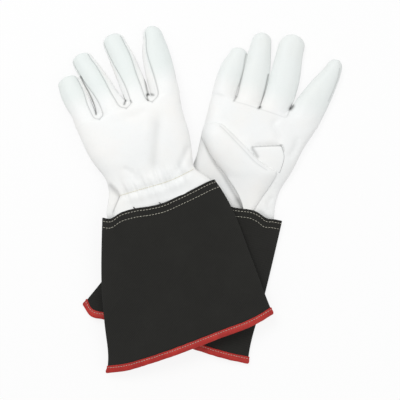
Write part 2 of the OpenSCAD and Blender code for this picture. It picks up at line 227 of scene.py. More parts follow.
right = Glove(
    "right", (27.3, -4.6), -20, greyness=0.55,
    lift=0.3, hand_sink=0.0, finger_sink=0.0, wrist_h=7.6, hand_h=16.0,
    out_left=[
        (-60, -14), (-58, 0), (-50, 16), (-47.8, 32), (-50.4, 60), (-51.8, 75), (-54.6, 96), (-55.8, 110),
    ],
    out_right=[
        (60, -14), (57, 2), (53.4, 13), (52.4, 31), (56.2, 50), (59.3, 68), (61.2, 85), (65, 104),
        (66.6, 112),
    ],
    top_left=[(-54, -14), (-52, 0), (-46, 16), (-44, 32), (-46, 60), (-47.4, 75), (-50, 96), (-51.2, 110)],
    top_right=[
        (55, -14), (51, 2), (48, 13), (47.6, 31), (51.5, 50), (54.6, 68), (56.6, 85), (60, 104), (61.5, 112),
    ],
    crotch=[(-29.6, 112), (-1.1, 113), (31.6, 120)],
    seam_bottom=[(-29.6, 108), (-1.1, 109.5), (30.4, 110.5)],
    strips=[((4, 3), (3.4, 2.4)), ((3.4, 2), (3.4, 2)), ((3.4, 2), (3.4, 2)), ((3.4, 2), (4, 3))],
    finger_h=14.4,
    fingers=[
        ([(-42.2, 108, 26.4), (-43.6, 126, 27), (-43.4, 145, 26.4), (-42.2, 157, 22)], (-42.2, 166.6), 2.7),
        ([(-14.7, 109, 28.4), (-15.4, 128, 30.4), (-17, 146, 30.8), (-20.3, 164, 27.4), (-23, 178, 22.6)],
         (-25.4, 190.4), 2.7),
        ([(15, 110, 31.4), (15.6, 128, 33.6), (14.6, 148, 33.6), (12.1, 166, 32), (9.7, 184, 29)],
         (9.4, 200.4), 2.9),
        ([(48.8, 112, 35), (52.2, 130, 34.4), (56.4, 149, 30.8), (60, 168, 24), (61.9, 179, 18.4)],
         (62.2, 191), 2.2),
    ],
    # Painted shadows: path, width and darkness of the shade in the crotches and slits, under the thumb flap's
    # free edge, along the patch's edges and down the index finger's outer seam.
    painted_shadows=[
        ([(31, 113), (31.2, 116), (31.4, 119)], 0.8, 0.25),
        ([(31.9, 121.6), (32.4, 123), (33, 125)], 2.2, 0.85),
        ([(-1.5, 109.4), (-0.9, 110), (-0.3, 110.8)], 1.4, 0.7),
        ([(-0.6, 111), (-1.5, 128), (-3.8, 149)], 0.9, 0.6),
        ([(-30, 107.6), (-29.4, 110), (-28.6, 113)], 1.0, 0.45),
        ([(-28.4, 114), (-31.2, 139), (-34.6, 162)], 0.9, 0.4),
        ([(25, -5), (18, 1.5), (12, 6)], 4.5, 0.3),
        ([(22, -3), (14, 5), (5, 12), (-11, 25.2), (-30, 38.8), (-49, 58.4)], 1.6, 0.36),
        ([(7.5, 65), (11.5, 62), (15.3, 59)], 1.8, 0.36),
        ([(6, 66.8), (21, 73.5), (36, 79.4)], 0.9, 0.26),
        ([(34.5, 79.4), (37.2, 78.6), (40.4, 74.6)], 0.9, 0.36),
        ([(68.6, 144), (69.6, 158), (69.4, 170), (67.6, 182)], 0.6, 0.24),
        ([(40, 3), (44, 1), (48, 0)], 2.4, 0.2),
    ],
    outer_roots=(108.0, 110.0), root_bow=0.5, cross_seam=(1, 3), palm_edge_below=-50.0,
    # Creases: path, depth, width and the painted shade along the crease's floor.
    creases=[
        ([(37, 81), (28, 89), (20, 99), (26, 110)], 1.4, 3.6, 0.03),
        ([(49, 99), (51, 81), (46, 66)], 1.4, 4.0, 0.03),
        ([(3, 68.2), (19, 74.8), (38, 81.6)], 1.3, 2.4, 0.10),
        ([(-40, 88), (-20, 80), (0, 72)], 1.0, 6.0, 0.0),
        ([(48, 26), (44, 14), (50, 4)], 0.8, 2.6, 0.05),
    ],
    cuff_base=0.2, cuff_h=12.2, hem_h=10.0,
    cuff_top=[
        (-65, -2), (-40, -1), (-15, -2.5), (8.4, -2.8), (20, -0.2), (29, 1.9), (38.3, 1.1), (47.2, -1.7),
        (54.3, 0.3), (66, 2),
    ],
    cuff_left=[(-110, -161), (-107.7, -154), (-99.3, -130), (-84, -75), (-65, -1)],
    cuff_right=[(84.5, -160), (82.2, -151), (76, -82), (70, -30), (66, 2)],
    hem=[(-110, -161), (-97, -169.2), (-83, -167.4), (19, -164.2), (60, -162.4), (84.5, -159.5)],
)


# Meshes built from rows of points

class Cage:
    """A coarse quad mesh, put together row by row; every face belongs to a numbered piece.

    Points can be marked, each with a weight: sewn along seams, strip on the side strips.
    """

    def __init__(self):
        self.points = []
        self.faces = []
        self.pieces = []
        self.marks = {"sewn": {}, "strip": {}}

    def row(self, points):
        first = len(self.points)
        self.points.extend(np.asarray(points, float).tolist())
        return list(range(first, len(self.points)))

    def mark(self, name, spots, weight=1.0):
        self.marks[name].update((i, weight) for i in spots)

    def skin(self, a, b, piece=0):
        """Quads from each step of row a to the same step of row b."""
        for i in range(len(a) - 1):
            self.faces.append((a[i], a[i + 1], b[i + 1], b[i]))
            self.pieces.append(piece)

    def cap(self, row, point, piece=0):
        """Closes a looped row with a fan to one point."""
        tip = self.row([point])[0]
        for a, b in zip(row, row[1:]):
            self.faces.append((a, b, tip))
            self.pieces.append(piece)

    def dense(self, levels):
        """The subdivided mesh: points, faces, the piece of each face, and the marks over the points."""
        mesh = bpy.data.meshes.new("cage")
        mesh.from_pydata(self.points, [], self.faces)
        for name, weights in self.marks.items():
            mark = mesh.attributes.new(name, "FLOAT", "POINT")
            mark.data.foreach_set("value", [weights.get(i, 0.0) for i in range(len(self.points))])
        mesh.polygons.foreach_set("material_index", self.pieces)
        for _ in range(max(self.pieces) + 1):
            mesh.materials.append(None)
        obj = bpy.data.objects.new("cage", mesh)
        bpy.context.scene.collection.objects.link(obj)
        obj.modifiers.new("smooth", "SUBSURF").levels = levels
        made = obj.evaluated_get(bpy.context.evaluated_depsgraph_get()).to_mesh()
        points = np.empty(len(made.vertices) * 3)
        made.vertices.foreach_get("co", points)
        corners = np.empty(len(made.loops), int)
        made.loops.foreach_get("vertex_index", corners)
        pieces = np.empty(len(made.polygons), int)
        made.polygons.foreach_get("material_index", pieces)
        marks = {}
        for name in self.marks:
            near = np.empty(len(made.vertices), np.float32)
            made.attributes[name].data.foreach_get("value", near)
            marks[name] = near.astype(float)
        bpy.data.objects.remove(obj)
        bpy.data.meshes.remove(mesh)
        return points.reshape(-1, 3), corners.reshape(-1, 4), pieces, marks


def point_normals(points, faces):
    """Unit normals at the points of a quad mesh."""
    a, b, c, d = (points[faces[:, i]] for i in range(4))
    flat = np.cross(c - a, d - b)
    total = np.zeros_like(points)
    for i in range(4):
        np.add.at(total, faces[:, i], flat)
    length = np.linalg.norm(total, axis=1)[:, None]
    return total / np.maximum(length, 1e-12)


END_SINK = np.array((0.12, 0.12, 0.85))


def shut_ends(points, faces):
    """Closes every open edge loop with a wall that sinks inside the piece and quads round its middle."""
    after = np.roll(faces, -1, axis=1)
    edges = set(zip(faces.ravel().tolist(), after.ravel().tolist()))
    onward = {b: a for a, b in edges if (b, a) not in edges}
    points, faces = points.tolist(), faces.tolist()
    while onward:
        start, spot = onward.popitem()
        loop = [start]
        while spot != start:
            loop.append(spot)
            spot = onward.pop(spot)
        outline = np.array([points[i] for i in loop])
        middle = outline.mean(axis=0)
        first, count = len(points), len(loop)
        points.extend((outline + (middle - outline) * END_SINK).tolist())
        points.append(middle.tolist())
        for i in range(count):
            j = (i + 1) % count
            faces.append([loop[i], loop[j], first + j, first + i])
        for i in range(0, count, 2):
            faces.append([first + count, first + i, first + i + 1, first + (i + 2) % count])
    return np.array(points), np.array(faces)


def make_piece(name, glove, points, faces, material, normals=None, **marks):
    """A smooth closed piece from points in the glove's frame; only the points that its faces use are kept."""
    used, skin = np.unique(np.asarray(faces), return_inverse=True)
    skin = skin.reshape(-1, 4)
    points, faces = shut_ends(points[used], skin)
    added = len(points) - len(used)
    mesh = bpy.data.meshes.new(name)
    mesh.from_pydata(glove.place(points).tolist(), [], faces.tolist())
    mesh.polygons.foreach_set("use_smooth", [True] * len(faces))
    mesh.materials.append(material)
    for mark_name, values in marks.items():
        mark = mesh.attributes.new(mark_name, "FLOAT", "POINT")
        mark.data.foreach_set("value", np.pad(values[used], (0, added)).astype(np.float32))
    mesh.update()
    if normals is not None:
        ends = points[faces[len(skin):]]
        across = np.cross(ends[:, 2] - ends[:, 0], ends[:, 3] - ends[:, 1])
        own = np.vstack([normals[used][skin.ravel()], np.repeat(across, 4, axis=0)])
        turned = glove.place(own) - glove.place(np.zeros((1, 3)))
        turned = turned / np.maximum(np.linalg.norm(turned, axis=1), 1e-12)[:, None]
        mesh.normals_split_custom_set(turned.tolist())
    obj = bpy.data.objects.new(name, mesh)
    bpy.context.scene.collection.objects.link(obj)
    return obj


# Materials

class Value:
    """A socket that can stand in a sum; each sum adds the Math node that it needs."""

    def __init__(self, finish, socket):
        self.finish = finish
        self.socket = socket

    def join(self, operation, a, b):
        return self.finish.node("ShaderNodeMath", {"operation": operation}, {0: a, 1: b})

    def __add__(self, other):
        return self.join("ADD", self, other)

    def __radd__(self, other):
        return self.join("ADD", other, self)

    def __mul__(self, other):
        return self.join("MULTIPLY", self, other)

    def __rmul__(self, other):
        return self.join("MULTIPLY", other, self)


class Finish:
    """One material and its nodes."""

    def __init__(self, name):
        self.material = bpy.data.materials.new(name)
        self.material.use_nodes = True
        self.tree = self.material.node_tree
        self.tree.nodes.clear()

    def node(self, kind, settings=None, sockets=None, out=0):
        """A node of that type: its settings first, then the values or links of its sockets."""
        made = self.tree.nodes.new(kind)
        for key, value in (settings or {}).items():
            setattr(made, key, value)
        for key, value in (sockets or {}).items():
            if isinstance(value, Value):
                self.tree.links.new(value.socket, made.inputs[key])
            else:
                made.inputs[key].default_value = value
        return Value(self, made.outputs[out]) if made.outputs else made

    def place(self, turn=0.0):
        """Positions on the object in metres, turned about Z."""
        spot = self.node("ShaderNodeTexCoord", out=3)
        sockets = {"Vector": spot, "Rotation": (0, 0, turn)}
        return self.node("ShaderNodeMapping", {"vector_type": "POINT"}, sockets)

    def noise(self, spot, scale, detail=3.0, roughness=0.5):
        sockets = {"Vector": spot, "Scale": scale, "Detail": detail, "Roughness": roughness}
        return self.node("ShaderNodeTexNoise", {"noise_dimensions": "3D"}, sockets)

    def level(self, value, low, high):
        """0 where value is under low, 1 where it is over high."""
        sockets = {"Value": value, "From Min": low, "From Max": high}
        return self.node("ShaderNodeMapRange", {"clamp": True}, sockets)

    def tint(self, share, a, b):
        """Colour a turned into b by a share."""
        settings = {"data_type": "RGBA", "blend_type": "MIX"}
        return self.node("ShaderNodeMix", settings, {0: share, 6: a, 7: b}, 2)

    def bump(self, height, distance, strength=1.0, after=None):
        sockets = {"Height": height, "Distance": distance, "Strength": strength}
        if after is not None:
            sockets["Normal"] = after
        return self.node("ShaderNodeBump", None, sockets)

    def surface(self, **sockets):
        """The shader; what changes over the surface is a Value, and the rest are plain numbers."""
        named = {key.replace("_", " "): value for key, value in sockets.items()}
        shader = self.node("ShaderNodeBsdfPrincipled", None, named)
        self.node("ShaderNodeOutputMaterial", None, {"Surface": shader})
        return self.material


def leather_finish(name, pale, warm):
    """Smooth glove leather: fine pores and a faint warm cloudiness, with painted shade in seams, creases,
    slits and folds wherever its line attribute is set.
    """
    f = Finish(name)
    spot = f.place()
    cloud = f.noise(spot, 28.0, 3.0)
    pores = f.node("ShaderNodeTexVoronoi", {"feature": "F1"}, {"Vector": spot, "Scale": 1100.0})
    grain = f.noise(spot, 420.0, 4.0, 0.6)
    line = f.node("ShaderNodeAttribute", {"attribute_name": "line"}, None, 2)
    grey = f.node("ShaderNodeAttribute", {"attribute_name": "grey"}, None, 2)
    base = f.tint(f.level(cloud, 0.42, 0.72), (*pale, 1), (*warm, 1))
    base = f.tint(grey * 0.8, base, (0.73, 0.795, 0.775, 1))
    base = f.tint(f.level(grain, 0.55, 0.8) * 0.10, base, (0.62, 0.63, 0.62, 1))
    # Painted shade: the line attribute darkens the leather towards near black.
    base = f.tint(f.level(line, 0.0, 1.0), base, (0.05, 0.053, 0.052, 1))
    fine = f.bump(pores + grain * 0.8, 0.00012, 0.35)
    soft = f.bump(f.noise(spot, 120.0, 3.0, 0.55), 0.0006, 0.25, fine)
    rough_by = grain * 0.16 + 0.44 + line * 0.15
    return f.surface(Base_Color=base, Roughness=rough_by, Normal=soft, Specular_IOR_Level=0.35,
                     Sheen_Weight=0.05, Sheen_Roughness=0.5)


def denim_finish(name, turn):
    """Near-black twill: slanted ribs crossed by the warp, with a faint grey fleck and worn lint."""
    f = Finish(name)
    spot = f.place(-turn)
    rib_turn = math.radians(58)
    slant = f.node("ShaderNodeMapping", None, {"Vector": spot, "Rotation": (0, 0, rib_turn)})
    settings = {"wave_type": "BANDS", "bands_direction": "X", "wave_profile": "SIN"}
    ribs = f.node("ShaderNodeTexWave", settings,
                  {"Vector": slant, "Scale": 165.0, "Distortion": 0.6, "Detail": 2.0, "Detail Scale": 4.0}, 1)
    warp = f.node("ShaderNodeTexWave", settings, {"Vector": spot, "Scale": 300.0, "Distortion": 0.5}, 1)
    fleck = f.noise(spot, 900.0, 2.0, 0.7)
    cloud = f.noise(spot, 34.0, 4.0, 0.6)
    weave = ribs * 0.7 + warp * 0.3
    base = f.tint(weave, (0.0105, 0.0104, 0.009, 1), (0.0165, 0.0163, 0.0142, 1))
    base = f.tint(f.level(cloud, 0.4, 0.8) * 0.4, base, (0.021, 0.021, 0.0185, 1))
    base = f.tint(f.level(fleck, 0.66, 0.8) * 0.3, base, (0.045, 0.045, 0.042, 1))
    normal = f.bump(weave + fleck * 0.5, 0.00015, 0.35)
    return f.surface(Base_Color=base, Roughness=weave * -0.08 + 0.92, Normal=normal, Specular_IOR_Level=0.2,
                     Sheen_Weight=0.08, Sheen_Roughness=0.6)


def binding_finish():
    """Red coated tape: a fine cloth grain under a slight gloss, with painted shade in the hollows of its soft
    folds and a painted highlight on its raised grain.
    """
    f = Finish("red_binding")
    spot = f.place()
    grain = f.noise(spot, 700.0, 3.0, 0.6)
    cloud = f.noise(spot, 90.0, 3.0, 0.55)
    # Painted shade: the red is deeper where the cloud noise sinks the bump into folds.
    base = f.tint(f.level(cloud, 0.35, 0.7), (0.36, 0.013, 0.010, 1), (0.48, 0.022, 0.014, 1))
    # Painted highlight: the red is brighter where the grain is raised.
    base = f.tint(f.level(grain, 0.6, 0.85) * 0.35, base, (0.58, 0.07, 0.05, 1))
    normal = f.bump(grain + cloud * 1.5, 0.0004, 0.5)
    return f.surface(Base_Color=base, Roughness=grain * 0.25 + 0.42, Normal=normal, Specular_IOR_Level=0.4)


def thread_finish(name, pale, dark):
    """Twisted sewing thread."""
    f = Finish(name)
    twist = f.noise(f.place(), 1500.0, 2.0, 0.6)
    base = f.tint(f.level(twist, 0.35, 0.65), (*dark, 1), (*pale, 1))
    normal = f.bump(twist, 0.0002, 0.5)
    return f.surface(Base_Color=base, Roughness=twist * 0.2 + 0.6, Normal=normal)


def table_finish():
    """A white table that keeps a faint shadow and looks plain white to the camera."""
    f = Finish("white_table")
    path = f.node("ShaderNodeLightPath")
    seen = Value(f, path.socket.node.outputs["Is Camera Ray"])
    glossy = Value(f, path.socket.node.outputs["Is Glossy Ray"])
    plain = f.node("ShaderNodeBsdfDiffuse", None, {"Color": (0.9, 0.9, 0.9, 1)})
    glow = f.node("ShaderNodeEmission", None, {"Color": (1, 1, 1, 1), "Strength": 1.0})
    both = f.node("ShaderNodeMixShader", None, {0: (seen + glossy) * 0.85, 1: plain, 2: glow})
    f.node("ShaderNodeOutputMaterial", None, {"Surface": both})
    return f.material


LEATHER = leather_finish("leather", (0.895, 0.907, 0.902), (0.908, 0.904, 0.884))
DENIM = {glove.side: denim_finish(f"{glove.side}_denim", glove.turn) for glove in (left, right)}
BINDING = binding_finish()
CREAM_THREAD = thread_finish("cream_thread", (0.66, 0.64, 0.55), (0.42, 0.40, 0.33))
TAN_THREAD = thread_finish("tan_thread", (0.80, 0.77, 0.62), (0.62, 0.59, 0.45))
BLACK_THREAD = thread_finish("black_thread", (0.03, 0.03, 0.03), (0.012, 0.012, 0.012))


# Leather hands

PANEL = 6
HAND_ROWS = 18
FINGER_ROWS = 12
TIP_STEPS = (0.32, 0.58, 0.78, 0.92, 0.985)
HAND_PIECE = 4
LINING_PIECE = 5
LINING_ROWS = (0, 1, 2, 3, 4, 5, 6, 7, 8, 10, 12, 14, 16)
HIDE = 1.3
EDGE_SHARE = 0.36
SIDE_SWELL = 0.16
STRIP_REACH = 0.55
STRIP_DROP = 0.38
FLAT_REACH = 0.47
FLAT_DROP = 0.53
FLAT_TUCK = 1.6
PALM_EDGE_H = 2.4
PALM_EDGE_RUN = 12
CROSS_SEAM_WEIGHT = 0.84
LINING_INSET = 0.05
LINING_PART = 0.3
LINING_SIDE = (0.3, 0.5, 0.7)
WEB_SHARE = 0.42
ROOT_SETTLE = 0.13
FINGER_TAPER = 0.26
TIP_SHARE = 0.42
TIP_LIFT = 0.2
FINGER_EDGE = 0.38
SEAM_UNTIL = 0.85
WRIST_BLEND = (24, 44)
KNUCKLE_BLEND = (112, 132)
GREY_SPAN = (112, 140)


def dome(t):
    """Height share of a finger's upper side at t, from -1 at one edge of its outline to 1 at the other."""
    t = np.minimum(np.abs(t), 1)
    return EDGE_SHARE + (1 - EDGE_SHARE) * (1 - t**2.6) ** 0.75


def broad_dome(t):
    """Height share of the hand's upper side, flatter across than a finger's."""
    t = np.minimum(np.abs(t), 1)
    return EDGE_SHARE + (1 - EDGE_SHARE) * (1 - t**6) ** 0.6


def bowl(t):
    """Height share of the underside at t."""
    return EDGE_SHARE * np.minimum(np.abs(t), 1) ** 4


def hand_height(glove, plan, over):
    """z of the hand's upper or lower side at points in plan."""
    x, y = plan[:, 0], plan[:, 1]
    low, high = side_x(glove.out_left, y), side_x(glove.out_right, y)
    t = (2 * x - low - high) / (high - low)
    inside_cuff = HIDE * (1 - ease(-6, 6, y))
    share = broad_dome(t) if over else bowl(t)
    return glove.rest(y) + inside_cuff + (glove.height(y) - 2 * inside_cuff) * share


def hand_columns(glove):
    """Base row of the hand through the seam bottoms, with each finger's root bowed forward."""
    first, last = glove.outer_roots
    roots = [np.array([side_x(glove.top_left, first), first])]
    roots += [np.array(p, float) for p in glove.seam_bottom]
    roots += [np.array([side_x(glove.top_right, last), last])]
    row = []
    for a, b in zip(roots, roots[1:]):
        u = np.linspace(0, 1, PANEL + 1)[:-1]
        row.extend(mixed(a, b, u) + np.outer(np.sin(np.pi * u), (0, glove.root_bow)))
    return np.array(row + [roots[-1]])


def hand_rows(glove):
    """Plan of the hand's rows: the panel's points, and the outline's points left and right."""
    base = hand_columns(glove)
    low, high = side_x(glove.top_left, base[:, 1]), side_x(glove.top_right, base[:, 1])
    base_share = (base[:, 0] - low) / (high - low)
    wrist_share = np.linspace(0, 1, len(base))
    for r in np.linspace(0, 1, HAND_ROWS + 1):
        y = WRIST_IN + (base[:, 1] - WRIST_IN) * r
        share = wrist_share + (base_share - wrist_share) * ease(0.1, 1, r)
        x = side_x(glove.top_left, y) * (1 - share) + side_x(glove.top_right, y) * share
        edge_l = np.array([side_x(glove.out_left, y[0]), y[0]])
        edge_r = np.array([side_x(glove.out_right, y[-1]), y[-1]])
        yield np.stack([x, y], axis=1), edge_l, edge_r


def strip_points(seam, top_z, low_z, edge, edge_z, flat=0.0):
    """The three points of a side strip between the upper seam and the lower one, round the outline's edge.

    flat goes from 0, where the side is round, to 1, where the lower leather lies flat beyond the upper.
    """
    seam, edge = np.asarray(seam, float), np.asarray(edge, float)
    swollen = edge + (edge - seam) * SIDE_SWELL * (1 - flat)
    upper = mixed(seam, swollen, STRIP_REACH - FLAT_REACH * flat)
    lower = mixed(seam, swollen, STRIP_REACH)
    return [
        (*upper, top_z + (edge_z - top_z) * (STRIP_DROP + FLAT_DROP * flat)),
        (*swollen, edge_z),
        (*lower, low_z + (edge_z - low_z) * STRIP_DROP - FLAT_TUCK * flat),
    ]


def finger_frames(stations, tip, power):
    """Centre, forward direction, width, share of the length and rounding of each row of a finger."""
    length = np.linspace(0, 1, FINGER_ROWS + 1) ** 1.4
    body = curve(stations, length)
    centre, width = body[:, :2], body[:, 2]
    forward = np.gradient(centre, axis=0)
    forward = forward / np.linalg.norm(forward, axis=1)[:, None]
    reach = np.array(tip) - centre[-1]
    for j in range(1, FINGER_ROWS + 1):
        yield centre[j], forward[j], width[j], length[j], 1.0
    for s in TIP_STEPS:
        turned = mixed(forward[-1], reach / np.linalg.norm(reach), s)
        round_off = (1 - s**power) ** 0.5
        yield centre[-1] + reach * s, turned, width[-1] * round_off, 1.0, round_off


def build_leather(glove):
    """Cage of the hand and its four fingers, one skin from the wrist to the fingertips."""
    cage = Cage()
    rows = []
    for plan, edge_l, edge_r in hand_rows(glove):
        top = np.column_stack([plan, hand_height(glove, plan, True)])
        low = np.column_stack([plan, hand_height(glove, plan, False)])
        edge_zl, edge_zr = (glove.rest(e[1]) + EDGE_SHARE * glove.height(e[1]) for e in (edge_l, edge_r))
        flat = 1 - float(ease(glove.palm_edge_below - PALM_EDGE_RUN, glove.palm_edge_below, edge_l[1]))
        edge_zl += (glove.rest(edge_l[1]) + PALM_EDGE_H - edge_zl) * flat
        right_strip = strip_points(plan[-1], top[-1, 2], low[-1, 2], edge_r, edge_zr)
        left_strip = strip_points(plan[0], top[0, 2], low[0, 2], edge_l, edge_zl, flat)
        rows.append((cage.row(top), cage.row(right_strip), cage.row(low), cage.row(left_strip)))
    for a, b in zip(rows, rows[1:]):
        cage.skin(hand_ring(a), hand_ring(b), HAND_PIECE)
    line_hand(cage, rows)
    top, _, low, _ = rows[-1]
    cage.mark("sewn", [row[PANEL * k] for row in (top, low) for k in (1, 2, 3)])
    if glove.cross_seam:
        first, last = glove.cross_seam
        cage.mark("sewn", top[PANEL * first:PANEL * last + 1], CROSS_SEAM_WEIGHT)
    webs = [web_column(cage, glove, rows[-1], k) for k in range(3)]
    for k in range(4):
        build_finger(cage, glove, k, rows[-1], webs)
    return cage


def hand_ring(row):
    """The looped ring of one hand row: over the top, down the thumb side, back below and up again."""
    top, right_strip, low, left_strip = row
    return top + right_strip + low[::-1] + left_strip[::-1] + top[:1]


def line_hand(cage, rows):
    """Turns the leather in at the wrist and runs it up inside the hand to a closed end."""
    before = hand_ring(rows[0])
    for r in LINING_ROWS:
        top, right_strip, low, left_strip = (np.array([cage.points[i] for i in part]) for part in rows[r])
        middle = (top[0, :2] + top[-1, :2]) / 2
        thin = np.minimum(HIDE, LINING_PART * (top[:, 2] - low[:, 2]))
        for row, inward in ((top, -thin), (low, thin)):
            row[:, :2] += LINING_INSET * (middle - row[:, :2])
            row[:, 2] += inward
        for strip, end in ((right_strip, -1), (left_strip, 0)):
            strip[:] = top[end] + np.outer(LINING_SIDE, low[end] - top[end])
        made = hand_ring([cage.row(part) for part in (top, right_strip, low, left_strip)])
        cage.skin(made, before, LINING_PIECE)
        before = made
    centre = np.mean([cage.points[i] for i in before], axis=0)
    cage.cap(before[::-1], centre, LINING_PIECE)


def web_column(cage, glove, row, k):
    """The strip's three points round one crotch, between the seam bottoms of the upper and lower side."""
    top, low = cage.points[row[0][PANEL * (k + 1)]], cage.points[row[2][PANEL * (k + 1)]]
    edge = np.array(glove.crotch[k], float)
    edge_z = glove.rest(edge[1]) + WEB_SHARE * glove.finger_h
    made = cage.row(strip_points(np.array(top[:2]), top[2], low[2], edge, edge_z))
    cage.mark("strip", made)
    return made


def build_finger(cage, glove, k, base, webs):
    """One finger's rings, from the hand's last row to a rounded tip."""
    stations, tip, power = glove.fingers[k]
    panel = slice(PANEL * k, PANEL * (k + 1) + 1)
    top, low = base[0][panel], base[2][panel]
    right_strip = webs[k] if k < 3 else base[1]
    left_strip = webs[k - 1] if k > 0 else base[3]
    ring = top + right_strip + low[::-1] + left_strip[::-1] + top[:1]
    root = np.array([cage.points[i] for i in top])[:, :2]
    root_edges = np.array([cage.points[left_strip[1]][:2], cage.points[right_strip[1]][:2]])
    u = np.linspace(0, 1, PANEL + 1)
    for centre, forward, width, v, round_off in finger_frames(stations, tip, power):
        across = np.array([forward[1], -forward[0]])
        half = width / 2
        settle = 1 - (1 - min(v / ROOT_SETTLE, 1)) ** 4
        narrowing = float(ease(0.3, 1, v))
        seam_l, seam_r = (half - (a + (b - a) * narrowing) * round_off for a, b in glove.strips[k])
        carried = root + forward * ((centre - root.mean(axis=0)) @ forward)
        plan = mixed(carried, centre + np.outer(u * (seam_l + seam_r) - seam_l, across), settle)
        ahead = max(0.0, (centre - root_edges.mean(axis=0)) @ forward)
        edges = centre + np.outer([-half, half], across)
        edges = mixed(root_edges + forward * ahead * 0.9, edges, ease(0, 0.36, v))
        high = glove.finger_h * (1 - FINGER_TAPER * v) * (TIP_SHARE + (1 - TIP_SHARE) * round_off)
        floor = glove.rest(plan[:, 1]) + TIP_LIFT * glove.finger_h * (1 - round_off)
        t = (plan - centre) @ across / max(half, 0.1)
        top_z = hand_height(glove, plan, True) * (1 - settle) + (floor + high * dome(t)) * settle
        low_z = hand_height(glove, plan, False) * (1 - settle) + (floor + high * bowl(t)) * settle
        edge_z = floor[[0, -1]] + FINGER_EDGE * high
        top = cage.row(np.column_stack([plan, top_z]))
        low = cage.row(np.column_stack([plan, low_z]))
        right_strip = cage.row(strip_points(plan[-1], top_z[-1], low_z[-1], edges[1], edge_z[1]))
        left_strip = cage.row(strip_points(plan[0], top_z[0], low_z[0], edges[0], edge_z[0]))
        if round_off > SEAM_UNTIL:
            mark_seams(cage, glove, k, top, low)
        if k < 3:
            cage.mark("strip", right_strip)
        if k > 0:
            cage.mark("strip", left_strip)
        after = top + right_strip + low[::-1] + left_strip[::-1] + top[:1]
        cage.skin(ring, after, k)
        ring = after
    cage.cap(ring, (*tip, np.mean([cage.points[i][2] for i in ring])), k)


def mark_seams(cage, glove, k, top, low):
    """The seams between a finger's panels and its side strips; the outer sides have none."""
    rows = (top, low) if glove.side == "left" else (low,)
    for row in rows:
        if k > 0:
            cage.mark("sewn", row[:1])
        if k < 3:
            cage.mark("sewn", row[-1:])


def painted_shade(glove, points):
    """Painted shade on each point of the upper half: shadows of the slits, crotches, flap edges and folds,
    drawn along paths.
    """
    dark = np.zeros(len(points))
    for path, width, shade in glove.painted_shadows:
        off, _ = path_distance(points[:, :2], curve(path, np.linspace(0, 1, 24)))
        dark += shade * np.exp(-((off / width) ** 2))
    y = points[:, 1]
    return np.minimum(dark, 1) * (points[:, 2] > glove.rest(y) + 0.2 * glove.height(y))


def leather_relief(glove, points, normals, marks):
    """How seams, creases and gathers move each point of the plain form, and how much painted shade it gets in
    seams, creases, slits and pucker valleys.
    """
    plan = points[:, :2]
    x, y = plan[:, 0], plan[:, 1]
    over = ease(0.1, 0.5, normals[:, 2])
    sewn = marks["sewn"]
    groove = np.clip(sewn * 4 - 3, 0, 1)
    ridge = np.clip(1 - np.abs(sewn - 0.75) * 4, 0, 1)
    height = 0.25 * ridge - 0.8 * groove
    # Painted shade in the seam grooves, plus the painted shadows drawn along paths.
    line = 0.32 * groove + painted_shade(glove, points)
    for path, depth, width, shade in glove.creases:
        off, share = path_distance(plan, curve(path, np.linspace(0, 1, 24)))
        dip = np.exp(-((off / width) ** 2)) * ease(0, 0.25, share) * (1 - ease(0.75, 1, share)) * over
        height -= depth * dip
        # Painted shade along the crease's floor.
        line += shade * dip**3
    height += 0.8 * rough(plan, 30, 1.5) + 0.3 * rough(plan, 12, 7.5)
    moved = normals * height[:, None]
    back_up = 1 if glove.side == "left" else -1
    on_back = ease(0.1, 0.5, normals[:, 2] * back_up)
    within = ease(-38, -30, x) * (1 - ease(36, 46, x))
    rise, valley = gathers(x, y)
    moved[:, 2] += back_up * on_back * within * rise
    # Painted shade in the pucker valleys.
    line += PUCKER_SHADE * on_back * within * valley
    return moved, line


ELASTIC = [(-41, 15.6), (-17, 14.6), (23, 13.4), (48, 16.7)]
# Painted shade in the valleys of the wrist puckers.
PUCKER_SHADE = 0.05


def gathers(x, y):
    """Height of the puckers that the elastic draws in the wrist, and how much shade is painted into each
    one's valley.
    """
    off = y - side_y(ELASTIC, x)
    reach = np.where(off > 0, np.exp(-((off / 15) ** 2)), np.exp(-((off / 9) ** 2)))
    folds = np.sin(x * 0.62 + 1.4 * np.sin(x / 13)) + 0.5 * np.sin(x * 1.13 + off * 0.12 + 2)
    broad = np.sin(x * 0.29 + off * 0.05 + 0.8) * np.exp(-((off / 17) ** 2))
    puff = 1.3 * np.exp(-(((off + 7) / 4.5) ** 2)) + 0.9 * np.exp(-(((off - 8) / 6) ** 2))
    rise = 0.75 * folds * reach + 0.7 * broad + puff - 1.3 * np.exp(-((off / 2.2) ** 2))
    valley = np.clip(-0.6 * folds * reach - broad, 0, 1)
    return rise, valley


def side_y(knots, x):
    """The y of a line at places x, where the knots rise in x."""
    fine = curve(knots, np.linspace(0, 1, 200))
    return np.interp(x, fine[:, 0], fine[:, 1])


